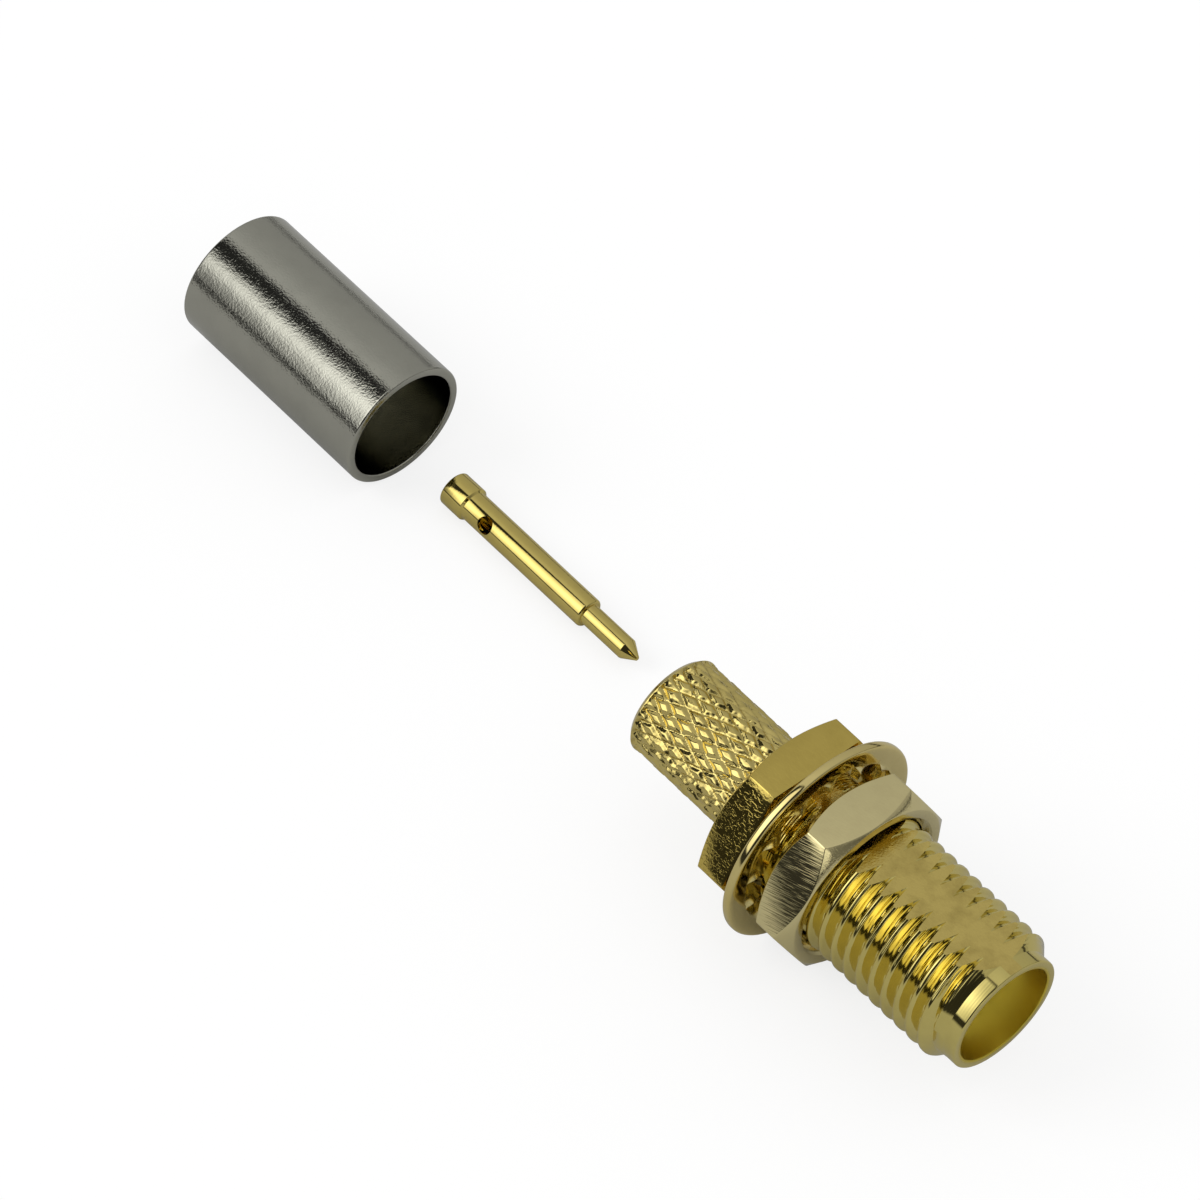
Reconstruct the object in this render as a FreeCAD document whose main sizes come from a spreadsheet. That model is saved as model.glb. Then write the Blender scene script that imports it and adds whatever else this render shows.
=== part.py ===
import FreeCAD, Part
import math
import os

# A threaded coaxial jack for a panel, with its crimp parts still loose.
# The frame is the jack's own: the origin is where its axis crosses the flange
# face that the panel seats on, +X runs along the axis to the mating end, and
# +Z is square to the flat that is milled along the thread.
# The sleeve and the contact lie behind the stem, on the surface that the lock
# washer's rim stands on, in the row that they are shown in.
# Lengths are in millimetres, angles in degrees, and a radius is a radius.

DIMENSIONS = (
    # Threaded barrel of the shell
    ("thread_radius", "3.175", "crest of the outer thread, a quarter inch across"),
    ("thread_pitch", "0.7056", "thirty-six turns to the inch"),
    ("thread_depth", "0.42", "crest to the bottom of the groove"),
    ("thread_flank", "30", "angle of the groove's flank to a square cut"),
    ("thread_start", "0.098", "flange face to the groove's middle, on the side of the flat"),
    ("flat_height", "2.68", "axis to the milled flat"),
    ("barrel_length", "10.2", "flange face to the last full crest"),
    ("relief_radius", "2.74", "undercut where the thread ends at the flange"),
    ("relief_length", "0.75", "undercut"),
    ("lip_cone_length", "0.48", "cone from the thread down to the lip"),
    ("lip_radius", "2.70", "smooth lip in front of the thread"),
    ("lip_length", "0.62", "smooth lip"),
    ("mouth_radius", "2.30", "open bore that a plug enters"),
    ("mouth_depth", "1.90", "front face to the insulator"),
    # Hexagon flange of the shell
    ("flange_across", "7.94", "across the flats, five sixteenths of an inch"),
    ("flange_thickness", "1.75", "hexagon flange"),
    ("flange_face_radius", "3.95", "circle where the rear corner chamfer starts"),
    ("flange_chamfer", "30", "angle of the rear corner chamfer to the face"),
    ("flange_turn", "4.3", "how far the hexagon is turned from the flat"),
    # Crimp stem of the shell
    ("stem_radius", "2.325", "over the knurl"),
    ("stem_length", "6.33", "rear end to the flange"),
    ("stem_bevel", "0.2", "bevel at the rear rim"),
    ("stem_wall", "0.775", "wall of the stem, round the cable's dielectric"),
    # Insulator
    ("insulator_bore_radius", "2.05", "bore of the shell that holds the insulator"),
    ("insulator_clearance", "0.02", "insulator in its bore"),
    ("insulator_length", "9.9", "shoulder in the shell to the mouth's floor"),
    ("pin_hole_length", "1.37", "front of the insulator to the step that seats the contact"),
    # Centre contact
    ("collar_radius", "0.80", "collar at the contact's rear end"),
    ("collar_length", "0.94", "full collar"),
    ("collar_cone_length", "0.28", "cone from the collar down to the shaft"),
    ("collar_bevel", "0.06", "bevel at the rear rim of the collar"),
    ("shaft_radius", "0.68", "shaft of the contact"),
    ("shoulder_round", "0.14", "rounded shoulder of the shaft"),
    ("pin_radius", "0.48", "pin of the contact"),
    ("pin_length", "2.36", "shoulder to the point's cone"),
    ("point_length", "0.73", "cone of the point"),
    ("point_radius", "0.08", "blunt end of the point"),
    ("cup_radius", "0.48", "cup that takes the cable's conductor"),
    ("cup_depth", "3.1", "straight part of the cup"),
    ("sight_hole_radius", "0.31", "hole that shows the conductor in the cup"),
    ("sight_hole_place", "2.29", "rear end to the middle of the sight hole"),
    ("sight_hole_turn", "65.7", "sight hole, turned from the flat"),
    ("contact_clearance", "0.03", "contact in its hole through the insulator"),
    # Crimp sleeve
    ("braid_room", "0.275", "stem to sleeve, where the cable's braid goes"),
    ("sleeve_wall", "0.40", "wall of the sleeve"),
    ("sleeve_length", "10.9", "whole sleeve"),
    ("sleeve_outer_bevel", "0.12", "bevelled outer rims"),
    ("sleeve_inner_bevel", "0.08", "bevelled inner rims"),
    # Lock washer
    ("washer_radius", "4.83", "outer rim"),
    ("washer_rim_width", "0.88", "solid rim outside the teeth"),
    ("washer_thickness", "0.40", "sheet that the washer is pressed from"),
    ("washer_gap", "0.32", "flange face to the washer, as it lies"),
    ("tooth_count", "14", "teeth round the hole"),
    ("tooth_root_width", "1.15", "tooth where it leaves the rim"),
    ("tooth_width", "0.76", "tooth at its end"),
    ("tooth_thickness", "0.34", "tooth, pressed a little thinner than the rim"),
    ("tooth_clearance", "0.125", "thread crest to the ends of the teeth"),
    ("tooth_root_sink", "0.2", "how far a tooth's root runs into the rim"),
    ("tooth_twist", "32", "twist of a tooth from root to end"),
    ("tooth_turn", "25", "first tooth, turned from the flat"),
    # Hexagon nut
    ("nut_across", "7.9", "across the flats"),
    ("nut_thickness", "2.04", "whole nut"),
    ("nut_place", "1.465", "flange face to the nut, as it lies"),
    ("nut_face_radius", "3.88", "circle where the corner chamfers start"),
    ("nut_chamfer", "38", "angle of the corner chamfers to the face"),
    ("nut_turn", "5.3", "how far the nut is turned from the flat"),
    ("nut_sink", "0.26", "countersink at both ends of the hole"),
    ("thread_clearance", "0.05", "nut round the crests of the thread"),
    # Where the loose pieces lie
    ("sleeve_place", "-37.9", "flange face to the sleeve's rear end"),
    ("sleeve_aside", "2.3", "jack's axis to the sleeve's"),
    ("contact_place", "-24.5", "flange face to the contact's rear end"),
    ("contact_aside", "3.3", "jack's axis to the contact's"),
)


class Size:
    """A value with the expression that gives it from the sheet's cells."""

    def __init__(self, value, text):
        self.value = value
        self.text = text

    def _joined(self, other, sign, value):
        text = other.text if isinstance(other, Size) else repr(other)
        return Size(value, f"({self.text} {sign} {text})")

    def __add__(self, other):
        return self._joined(other, "+", self.value + number(other))

    def __sub__(self, other):
        return self._joined(other, "-", self.value - number(other))

    def __mul__(self, other):
        return self._joined(other, "*", self.value * number(other))

    def __truediv__(self, other):
        return self._joined(other, "/", self.value / number(other))

    def __neg__(self):
        return Size(-self.value, f"(0 - {self.text})")


def number(size):
    """The plain value of a Size or a number."""
    return size.value if isinstance(size, Size) else float(size)


def tangent(angle):
    """Tangent of an angle in degrees."""
    return Size(math.tan(math.radians(angle.value)), f"tan({angle.text} * 1 deg)")


def cosine(angle):
    """Cosine of an angle in degrees."""
    return Size(math.cos(math.radians(angle.value)), f"cos({angle.text} * 1 deg)")


class Sizes:
    """The sheet of driving dimensions, read as Size values by their names."""

    def __init__(self, doc):
        sheet = doc.addObject("Spreadsheet::Sheet", "dims")
        for row, (alias, value, meaning) in enumerate(DIMENSIONS, start=1):
            sheet.set(f"A{row}", alias)
            sheet.set(f"B{row}", value)
            sheet.setAlias(f"B{row}", alias)
            sheet.set(f"C{row}", meaning)
            setattr(self, alias, Size(float(value), f"dims.{alias}"))
        doc.recompute()


def origin_feature(body, role):
    """A plane or axis of the body's own origin."""
    return next(f for f in body.Origin.OriginFeatures if f.Role == role)


def bind(target, prop, size):
    """Ties a property to the sheet."""
    target.setExpression(prop, size.text if isinstance(size, Size) else repr(size))


def attach(feature, body, plane, offset=None, turn=None, turn_axis=(0, 0, 1)):
    """Sets a feature on an origin plane, shifted and turned by sizes from the sheet."""
    feature.AttachmentSupport = [(origin_feature(body, plane), "")]
    feature.MapMode = "FlatFace"
    if turn is not None:
        rotation = FreeCAD.Rotation(FreeCAD.Vector(*turn_axis), turn.value)
        feature.AttachmentOffset = FreeCAD.Placement(FreeCAD.Vector(), rotation)
        bind(feature, ".AttachmentOffset.Rotation.Angle", turn)
    for axis, size in (offset or {}).items():
        bind(feature, f".AttachmentOffset.Base.{axis}", size)


def new_body(doc, label):
    """An empty body with a label that names its file."""
    body = doc.addObject("PartDesign::Body", label)
    body.Label = label
    return body


def new_sketch(body, name, plane="XZ_Plane", **placing):
    """A sketch on one of the body's origin planes."""
    sketch = body.newObject("Sketcher::SketchObject", name)
    attach(sketch, body, plane, **placing)
    return sketch


def tie_point(sketch, line, across, up):
    """Fixes the start of a line at a place that the sheet gives."""
    import Sketcher

    for kind, axis, size in (("DistanceX", -2, across), ("DistanceY", -1, up)):
        if isinstance(size, Size):
            index = sketch.addConstraint(Sketcher.Constraint(kind, -1, 1, line, 1, size.value))
            sketch.setExpression(f"Constraints[{index}]", size.text)
        else:
            sketch.addConstraint(Sketcher.Constraint("PointOnObject", line, 1, axis))


def outline(sketch, points):
    """Draws a closed outline of straight lines through points given by the sheet.

    A point holds two sizes, or 0 where it lies on one of the sketch's axes.
    """
    import Sketcher

    places = [FreeCAD.Vector(number(x), number(y), 0) for x, y in points]
    following = places[1:] + places[:1]
    for start, end in zip(places, following):
        sketch.addGeometry(Part.LineSegment(start, end), False)
    for line, (across, up) in enumerate(points):
        after = (line + 1) % len(points)
        sketch.addConstraint(Sketcher.Constraint("Coincident", line, 2, after, 1))
        tie_point(sketch, line, across, up)


def revolve(body, name, points, cut=False):
    """Turns an outline about the body's X axis, as new material or as a cut."""
    sketch = new_sketch(body, f"{name}_outline")
    outline(sketch, points)
    kind = "PartDesign::Groove" if cut else "PartDesign::Revolution"
    feature = body.newObject(kind, name)
    feature.Profile = sketch
    feature.ReferenceAxis = (sketch, ["H_Axis"])
    feature.Angle = 360
    body.Document.recompute()
    return feature


def hexagon(body, name, across, thickness, turn, start=None):
    """A hexagonal prism along X, turned from flats square to Z."""
    prism = body.newObject("PartDesign::AdditivePrism", name)
    offset = {"z": start} if start is not None else None
    attach(prism, body, "YZ_Plane", offset=offset, turn=turn)
    prism.Polygon = 6
    bind(prism, "Circumradius", across / 2 / cosine(Size(30.0, "30")))
    bind(prism, "Height", thickness)
    body.Document.recompute()
    return prism


def corner_chamfer(body, name, across, face, face_radius, angle, inwards):
    """Turns the corners of a hexagon off to a cone that starts at the face."""
    depth = (across - face_radius) * tangent(angle)
    if number(face) == 0:
        base = depth
    else:
        base = face + depth * inwards
    return revolve(body, name, [(face, face_radius), (face, across), (base, across)], cut=True)


def round_rims(body, base, name, radius, rims):
    """Fillets the circular edges at the places and radii listed in rims."""
    wanted = [(number(x), number(r)) for x, r in rims]
    edges = []
    for index, edge in enumerate(base.Shape.Edges, start=1):
        curve = edge.Curve
        if not isinstance(curve, Part.Circle):
            continue
        here = (curve.Center.x, curve.Radius)
        if any(math.dist(here, there) < 1e-4 for there in wanted):
            edges.append(f"Edge{index}")
    fillet = body.newObject("PartDesign::Fillet", name)
    fillet.Base = (base, edges)
    bind(fillet, "Radius", radius)
    body.Document.recompute()
    return fillet


def place(body, x=None, y=None, z=None, turn=None):
    """Puts a body where the sheet says, turned about X."""
    if turn is not None:
        rotation = FreeCAD.Rotation(FreeCAD.Vector(1, 0, 0), turn.value)
        body.Placement = FreeCAD.Placement(FreeCAD.Vector(), rotation)
        bind(body, ".Placement.Rotation.Angle", turn)
    for axis, size in (("x", x), ("y", y), ("z", z)):
        if size is not None:
            bind(body, f".Placement.Base.{axis}", size)


def cut_thread(body, d, flange_face):
    """Cuts the barrel's right-handed thread.

    The groove starts over the undercut and ends over the lip, where it cuts
    nothing, so it needs no run-out of its own.
    """
    root = d.thread_radius - d.thread_depth
    clear = d.thread_radius + d.thread_depth / 4
    middle = flange_face + d.thread_start
    half_width = (clear - root) * tangent(d.thread_flank)
    sketch = new_sketch(body, "thread_groove")
    outline(sketch, [
        (middle, root),
        (middle + half_width, clear),
        (middle - half_width, clear),
    ])
    solid_before = body.Shape.Volume
    thread = body.newObject("PartDesign::SubtractiveHelix", "thread")
    thread.Profile = sketch
    thread.ReferenceAxis = (origin_feature(body, "X_Axis"), [""])
    thread.Mode = "pitch-height-angle"
    bind(thread, "Pitch", d.thread_pitch)
    bind(thread, "Height", d.barrel_length + d.lip_cone_length)
    body.Document.recompute()
    if body.Shape.Volume >= solid_before:
        raise RuntimeError("the thread takes nothing off the barrel")


def build_shell(doc, d):
    """The jack's body, turned and milled from one bar: stem, flange and barrel."""
    body = new_body(doc, "body_shell")
    flange_face = d.stem_length + d.flange_thickness
    thread_end = flange_face + d.barrel_length
    lip_start = thread_end + d.lip_cone_length
    front = lip_start + d.lip_length
    revolve(body, "shell_outside", [
        (0, 0),
        (front, 0),
        (front, d.lip_radius),
        (lip_start, d.lip_radius),
        (thread_end, d.thread_radius),
        (flange_face + d.relief_length, d.thread_radius),
        (flange_face + d.relief_length, d.relief_radius),
        (d.stem_length, d.relief_radius),
        (d.stem_length, d.stem_radius),
        (d.stem_bevel, d.stem_radius),
        (0, d.stem_radius - d.stem_bevel),
    ])
    hexagon(body, "flange", d.flange_across, d.flange_thickness, d.flange_turn, d.stem_length)
    corner_chamfer(body, "flange_corners", d.flange_across, d.stem_length,
                   d.flange_face_radius, d.flange_chamfer, inwards=1)

    mouth_floor = front - d.mouth_depth
    shoulder = mouth_floor - d.insulator_length
    stem_bore = d.stem_radius - d.stem_wall
    revolve(body, "shell_bores", [
        (0, 0),
        (front, 0),
        (front, d.mouth_radius),
        (mouth_floor, d.mouth_radius),
        (mouth_floor, d.insulator_bore_radius),
        (shoulder, d.insulator_bore_radius),
        (shoulder, stem_bore),
        (0, stem_bore),
    ], cut=True)

    # The flat runs along the whole barrel, deeper than the thread's roots.
    clear = d.thread_radius * 2
    sketch = new_sketch(body, "flat_outline", "YZ_Plane", offset={"z": flange_face})
    outline(sketch, [(-clear, d.flat_height), (clear, d.flat_height), (clear, clear), (-clear, clear)])
    solid_before = body.Shape.Volume
    flat = body.newObject("PartDesign::Pocket", "thread_flat")
    flat.Profile = sketch
    flat.Reversed = True
    bind(flat, "Length", front - flange_face)
    doc.recompute()
    if body.Shape.Volume >= solid_before:
        raise RuntimeError("the flat takes nothing off the barrel")

    cut_thread(body, d, flange_face)
    place(body, x=-flange_face)
    return body


def build_insulator(doc, d):
    """The plastic insulator in the shell, with a stepped hole for the contact."""
    body = new_body(doc, "insulator")
    radius = d.insulator_bore_radius - d.insulator_clearance
    collar_end = d.collar_length + d.collar_cone_length
    shaft_end = d.insulator_length - d.pin_hole_length
    revolve(body, "insulator_turned", [
        (0, d.collar_radius + d.contact_clearance),
        (collar_end, d.collar_radius + d.contact_clearance),
        (collar_end, d.shaft_radius + d.contact_clearance),
        (shaft_end, d.shaft_radius + d.contact_clearance),
        (shaft_end, d.pin_radius + d.contact_clearance),
        (d.insulator_length, d.pin_radius + d.contact_clearance),
        (d.insulator_length, radius),
        (0, radius),
    ])
    front = d.barrel_length + d.lip_cone_length + d.lip_length
    place(body, x=front - d.mouth_depth - d.insulator_length)
    return body


def build_contact(doc, d, floor):
    """The loose centre contact: collar, shaft, pin and point, with a hollow rear end.

    Pushed into the insulator, its shaft fills the wide part of the hole.
    """
    body = new_body(doc, "centre_contact")
    shaft_start = d.collar_length + d.collar_cone_length
    shaft_end = d.insulator_length - d.pin_hole_length
    point_start = shaft_end + d.pin_length
    length = point_start + d.point_length
    turned = revolve(body, "contact_outside", [
        (0, 0),
        (length, 0),
        (length, d.point_radius),
        (point_start, d.pin_radius),
        (shaft_end, d.pin_radius),
        (shaft_end, d.shaft_radius),
        (shaft_start, d.shaft_radius),
        (d.collar_length, d.collar_radius),
        (d.collar_bevel, d.collar_radius),
        (0, d.collar_radius - d.collar_bevel),
    ])
    round_rims(body, turned, "contact_shoulder", d.shoulder_round, [(shaft_end, d.shaft_radius)])
    # The drill leaves a cone at the bottom of the cup.
    revolve(body, "contact_cup", [
        (0, 0),
        (d.cup_depth + d.cup_radius * tangent(Size(30.0, "30")), 0),
        (d.cup_depth, d.cup_radius),
        (0, d.cup_radius),
    ], cut=True)

    hole = body.newObject("PartDesign::SubtractiveCylinder", "sight_hole")
    attach(hole, body, "XY_Plane", offset={"x": d.sight_hole_place},
           turn=d.sight_hole_turn, turn_axis=(1, 0, 0))
    bind(hole, "Radius", d.sight_hole_radius)
    bind(hole, "Height", d.shaft_radius * 2)
    doc.recompute()

    place(body, x=d.contact_place, y=d.contact_aside, z=d.collar_radius + floor)
    return body


def build_sleeve(doc, d, floor):
    """The loose crimp sleeve, a plain tube that goes over the stem and the braid."""
    body = new_body(doc, "crimp_sleeve")
    bore = d.stem_radius + d.braid_room
    radius = bore + d.sleeve_wall
    revolve(body, "sleeve_tube", [
        (0, bore + d.sleeve_inner_bevel),
        (d.sleeve_inner_bevel, bore),
        (d.sleeve_length - d.sleeve_inner_bevel, bore),
        (d.sleeve_length, bore + d.sleeve_inner_bevel),
        (d.sleeve_length, radius - d.sleeve_outer_bevel),
        (d.sleeve_length - d.sleeve_outer_bevel, radius),
        (d.sleeve_outer_bevel, radius),
        (0, radius - d.sleeve_outer_bevel),
    ])
    place(body, x=d.sleeve_place, y=d.sleeve_aside, z=radius + floor)
    return body


def build_washer(doc, d):
    """The lock washer: a pressed ring with twisted teeth round its hole."""
    body = new_body(doc, "lock_washer")
    rim_inside = d.washer_radius - d.washer_rim_width
    revolve(body, "washer_rim", [
        (0, rim_inside),
        (d.washer_thickness, rim_inside),
        (d.washer_thickness, d.washer_radius),
        (0, d.washer_radius),
    ])

    # A tooth runs from a flat section inside the rim to a twisted one at its end.
    middle = d.washer_thickness / 2
    sections = (
        ("tooth_root", rim_inside + d.tooth_root_sink, d.tooth_root_width, None),
        ("tooth_end", d.thread_radius + d.tooth_clearance, d.tooth_width, d.tooth_twist),
    )
    sketches = []
    for name, radius, width, twist in sections:
        sketch = new_sketch(body, name, "XY_Plane", offset={"x": middle, "z": radius}, turn=twist)
        half_width = width / 2
        half_thickness = d.tooth_thickness / 2
        outline(sketch, [
            (-half_thickness, -half_width),
            (half_thickness, -half_width),
            (half_thickness, half_width),
            (-half_thickness, half_width),
        ])
        sketches.append(sketch)
    tooth = body.newObject("PartDesign::AdditiveLoft", "tooth")
    tooth.Profile = sketches[0]
    tooth.Sections = [sketches[1]]
    tooth.Ruled = True
    doc.recompute()
    teeth = body.newObject("PartDesign::PolarPattern", "teeth")
    teeth.Originals = [tooth]
    teeth.Axis = (origin_feature(body, "X_Axis"), [""])
    teeth.Angle = 360
    bind(teeth, "Occurrences", d.tooth_count)
    body.Tip = teeth
    doc.recompute()
    place(body, x=d.washer_gap, turn=d.tooth_turn)
    return body


def build_nut(doc, d):
    """The hexagon nut, chamfered at both ends, bored clear of the thread's crests."""
    body = new_body(doc, "hex_nut")
    hexagon(body, "nut_blank", d.nut_across, d.nut_thickness, d.nut_turn)
    for name, face, inwards in (("rear_corners", 0, 1), ("front_corners", d.nut_thickness, -1)):
        corner_chamfer(body, name, d.nut_across, face, d.nut_face_radius, d.nut_chamfer, inwards)
    bore = d.thread_radius + d.thread_clearance
    revolve(body, "nut_hole", [
        (0, 0),
        (d.nut_thickness, 0),
        (d.nut_thickness, bore + d.nut_sink),
        (d.nut_thickness - d.nut_sink, bore),
        (d.nut_sink, bore),
        (0, bore + d.nut_sink),
    ], cut=True)
    place(body, x=d.nut_place)
    return body


def check(doc, bodies):
    """Stops if any object failed, or if a piece isn't one sound solid."""
    for item in doc.Objects:
        if {"Invalid", "Error"} & set(item.State):
            raise RuntimeError(f"{item.Label} failed: {item.State}")
    for body in bodies:
        shape = body.Shape
        if shape.isNull() or not shape.isValid() or len(shape.Solids) != 1:
            raise RuntimeError(f"{body.Label} isn't one sound solid")


def main():
    """Builds every piece and writes each to its own file."""
    doc = FreeCAD.newDocument("coaxial_jack")
    d = Sizes(doc)
    # The lock washer's rim is the lowest thing that the jack stands on.
    floor = -d.washer_radius
    bodies = [
        build_shell(doc, d),
        build_insulator(doc, d),
        build_contact(doc, d, floor),
        build_sleeve(doc, d, floor),
        build_washer(doc, d),
        build_nut(doc, d),
    ]
    doc.recompute()
    check(doc, bodies)
    os.makedirs("parts", exist_ok=True)
    for body in bodies:
        body.Shape.exportStep(f"parts/{body.Label}.step")
        box = body.Shape.BoundBox
        print(f"{body.Label}: {body.Shape.Volume:.3f} mm3, "
              f"x {box.XMin:.3f} to {box.XMax:.3f}, "
              f"y {box.YMin:.3f} to {box.YMax:.3f}, z {box.ZMin:.3f} to {box.ZMax:.3f}")


main()
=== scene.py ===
"""The look of a threaded coaxial jack and its two loose crimp parts.

The classes hold their sizes in millimetres, and a length becomes metres where a mesh or a node takes it.
The jack's axis is X. An angle round it starts at +Z and grows towards +Y.
"""

import logging
import math
from dataclasses import dataclass
from enum import Enum
from functools import reduce
from typing import Any, Callable, ClassVar, Iterable, Sequence

import bmesh
import bpy
from mathutils import Matrix, Vector

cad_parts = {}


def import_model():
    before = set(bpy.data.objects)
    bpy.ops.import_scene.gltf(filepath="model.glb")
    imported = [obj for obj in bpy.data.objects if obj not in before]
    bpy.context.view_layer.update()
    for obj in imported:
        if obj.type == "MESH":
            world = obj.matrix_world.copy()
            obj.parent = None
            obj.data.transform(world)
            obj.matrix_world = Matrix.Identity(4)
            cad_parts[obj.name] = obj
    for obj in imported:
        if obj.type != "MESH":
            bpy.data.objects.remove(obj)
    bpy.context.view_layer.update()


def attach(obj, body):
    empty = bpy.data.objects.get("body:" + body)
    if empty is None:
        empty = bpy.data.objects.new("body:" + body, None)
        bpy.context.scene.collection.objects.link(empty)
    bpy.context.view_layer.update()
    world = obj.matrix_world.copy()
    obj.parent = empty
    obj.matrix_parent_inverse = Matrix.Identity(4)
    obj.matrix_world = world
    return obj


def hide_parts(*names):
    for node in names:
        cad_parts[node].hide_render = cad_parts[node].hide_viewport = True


MM = 0.001
THREAD_PITCH = 0.70556
Corner = tuple[float, float, float]
Spot = tuple[float, float]
Colour = tuple[float, float, float]
Socket = bpy.types.NodeSocket
Piece = bpy.types.Object

log = logging.getLogger("jack")


class Grain(Enum):
    """Which marks a tool has left on a surface, with the name of their node group."""

    TURNED = "Turning rings"
    DRAWN = "Drawn lines"
    TUMBLED = "Tumbled grit"
    SCALED = "Bar scale"
    THREADED = "Thread scores"


class Wiring:
    """A node tree that is written down step by step."""

    def __init__(self, tree: bpy.types.NodeTree) -> None:
        """Starts from the tree that gets the nodes."""
        self.tree = tree

    def node(self, kind: str, inputs: dict[Any, Any] | None = None, **settings: Any) -> bpy.types.Node:
        """Adds a node.

        Args:
            kind: The node's type name.
            inputs: What goes into its sockets, by name or number, as a value or another node's socket.
            settings: The node's own properties.

        Returns:
            The new node.
        """
        made = self.tree.nodes.new(kind)
        for key, value in settings.items():
            setattr(made, key, value)
        for key, value in (inputs or {}).items():
            self.feed(made.inputs[key], value)
        return made

    def feed(self, socket: Socket, value: Any) -> None:
        """Puts a value or another node's socket into a socket.

        Args:
            socket: The socket that takes it.
            value: A value, or an output socket.
        """
        if isinstance(value, Socket):
            self.tree.links.new(value, socket)
        else:
            socket.default_value = value

    def math(self, operation: str, *values: Any) -> Socket:
        """Adds a Math node for numbers or sockets, and gives its result."""
        return self.node("ShaderNodeMath", dict(enumerate(values)), operation=operation).outputs[0]

    def times(self, *values: Any) -> Socket:
        """Multiplies numbers or sockets, and gives the product."""
        return reduce(lambda before, value: self.math("MULTIPLY", before, value), values)

    def vector(self, operation: str, *values: Any) -> Socket:
        """Adds a Vector Math node for vectors or sockets, and gives its result."""
        made = self.node("ShaderNodeVectorMath", dict(enumerate(values)), operation=operation)
        return next(out for out in made.outputs if out.enabled)

    def split(self, place: Socket) -> list[Socket]:
        """Gives the X, Y and Z of a place."""
        return self.node("ShaderNodeSeparateXYZ", {0: place}).outputs[:]

    def join(self, x: Any = 0.0, y: Any = 0.0, z: Any = 0.0) -> Socket:
        """Gives the place that has an X, a Y and a Z."""
        return self.node("ShaderNodeCombineXYZ", {0: x, 1: y, 2: z}).outputs[0]

    def radius(self, place: Socket) -> Socket:
        """Gives the distance of a place from X."""
        return self.vector("LENGTH", self.vector("MULTIPLY", place, (0, 1, 1)))

    def noise(self, place: Socket, grains: Sequence[float], detail: float = 2, rough: float = 0.5,
              output: int = 0) -> Socket:
        """Adds noise of a given size.

        Args:
            place: The place's socket.
            grains: How many grains a millimetre has along X, Y and Z.
            detail: How many finer layers lie on it.
            rough: How strong the finer layers are.
            output: 0 for one number, and 1 for three in a colour.

        Returns:
            The noise's socket, from 0 to 1.
        """
        scaled = self.vector("MULTIPLY", place, tuple(grain / MM for grain in grains))
        return self.node("ShaderNodeTexNoise", {"Vector": scaled, "Scale": 1.0, "Detail": detail,
                                                "Roughness": rough}).outputs[output]

    def fade(self, value: Socket, start: float, end: float, low: float = 0.0, high: float = 1.0,
             soft: bool = False) -> Socket:
        """Turns a value into a level that stays level before the start and past the end.

        Args:
            value: The value's socket.
            start: The value that gives the low level.
            end: The value that gives the high level.
            low: The level at the start.
            high: The level at the end.
            soft: Whether the change begins and ends gently.

        Returns:
            The level's socket.
        """
        return self.node("ShaderNodeMapRange", {
            "Value": value, "From Min": start, "From Max": end, "To Min": low, "To Max": high,
        }, interpolation_type="SMOOTHSTEP" if soft else "LINEAR").outputs[0]

    def blend(self, factor: Socket, first: Any, second: Any) -> Socket:
        """Mixes two colours.

        Args:
            factor: How much of the second there is.
            first: A colour, or its socket.
            second: Another colour, or its socket.

        Returns:
            The mixed colour's socket.
        """
        ends = ((*colour, 1) if isinstance(colour, tuple) else colour for colour in (first, second))
        return self.node("ShaderNodeMix", dict(zip(("Factor", "A", "B"), (factor, *ends))),
                         data_type="RGBA").outputs["Result"]

    def ramp(self, factor: Socket, stops: Iterable[Spot]) -> Socket:
        """Adds a Color Ramp of greys.

        Args:
            factor: Where along the ramp to look.
            stops: Places from 0 to 1 with their grey levels.

        Returns:
            The colour's socket.
        """
        made = self.node("ShaderNodeValToRGB", {0: factor})
        points = made.color_ramp.elements
        first, *middle, last = stops
        for place, level in middle:
            points.new(place).color = (level, level, level, 1)
        for point, (place, level) in ((points[0], first), (points[-1], last)):
            point.position = place
            point.color = (level, level, level, 1)
        return made.outputs[0]


class Paint(Wiring):
    """A material's tree, with the place where the piece is looked at."""

    def __init__(self, name: str) -> None:
        """Starts a material.

        Args:
            name: The material's name.
        """
        self.material = bpy.data.materials.new(name)
        self.material.use_nodes = True
        super().__init__(self.material.node_tree)
        self.place = self.node("ShaderNodeTexCoord").outputs["Object"]

    def show(self, surface: Socket) -> bpy.types.Material:
        """Puts a surface in place of the usual one.

        Args:
            surface: The surface's socket.

        Returns:
            The finished material.
        """
        self.tree.nodes.remove(self.tree.nodes["Principled BSDF"])
        self.feed(self.tree.nodes["Material Output"].inputs["Surface"], surface)
        return self.material


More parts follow.
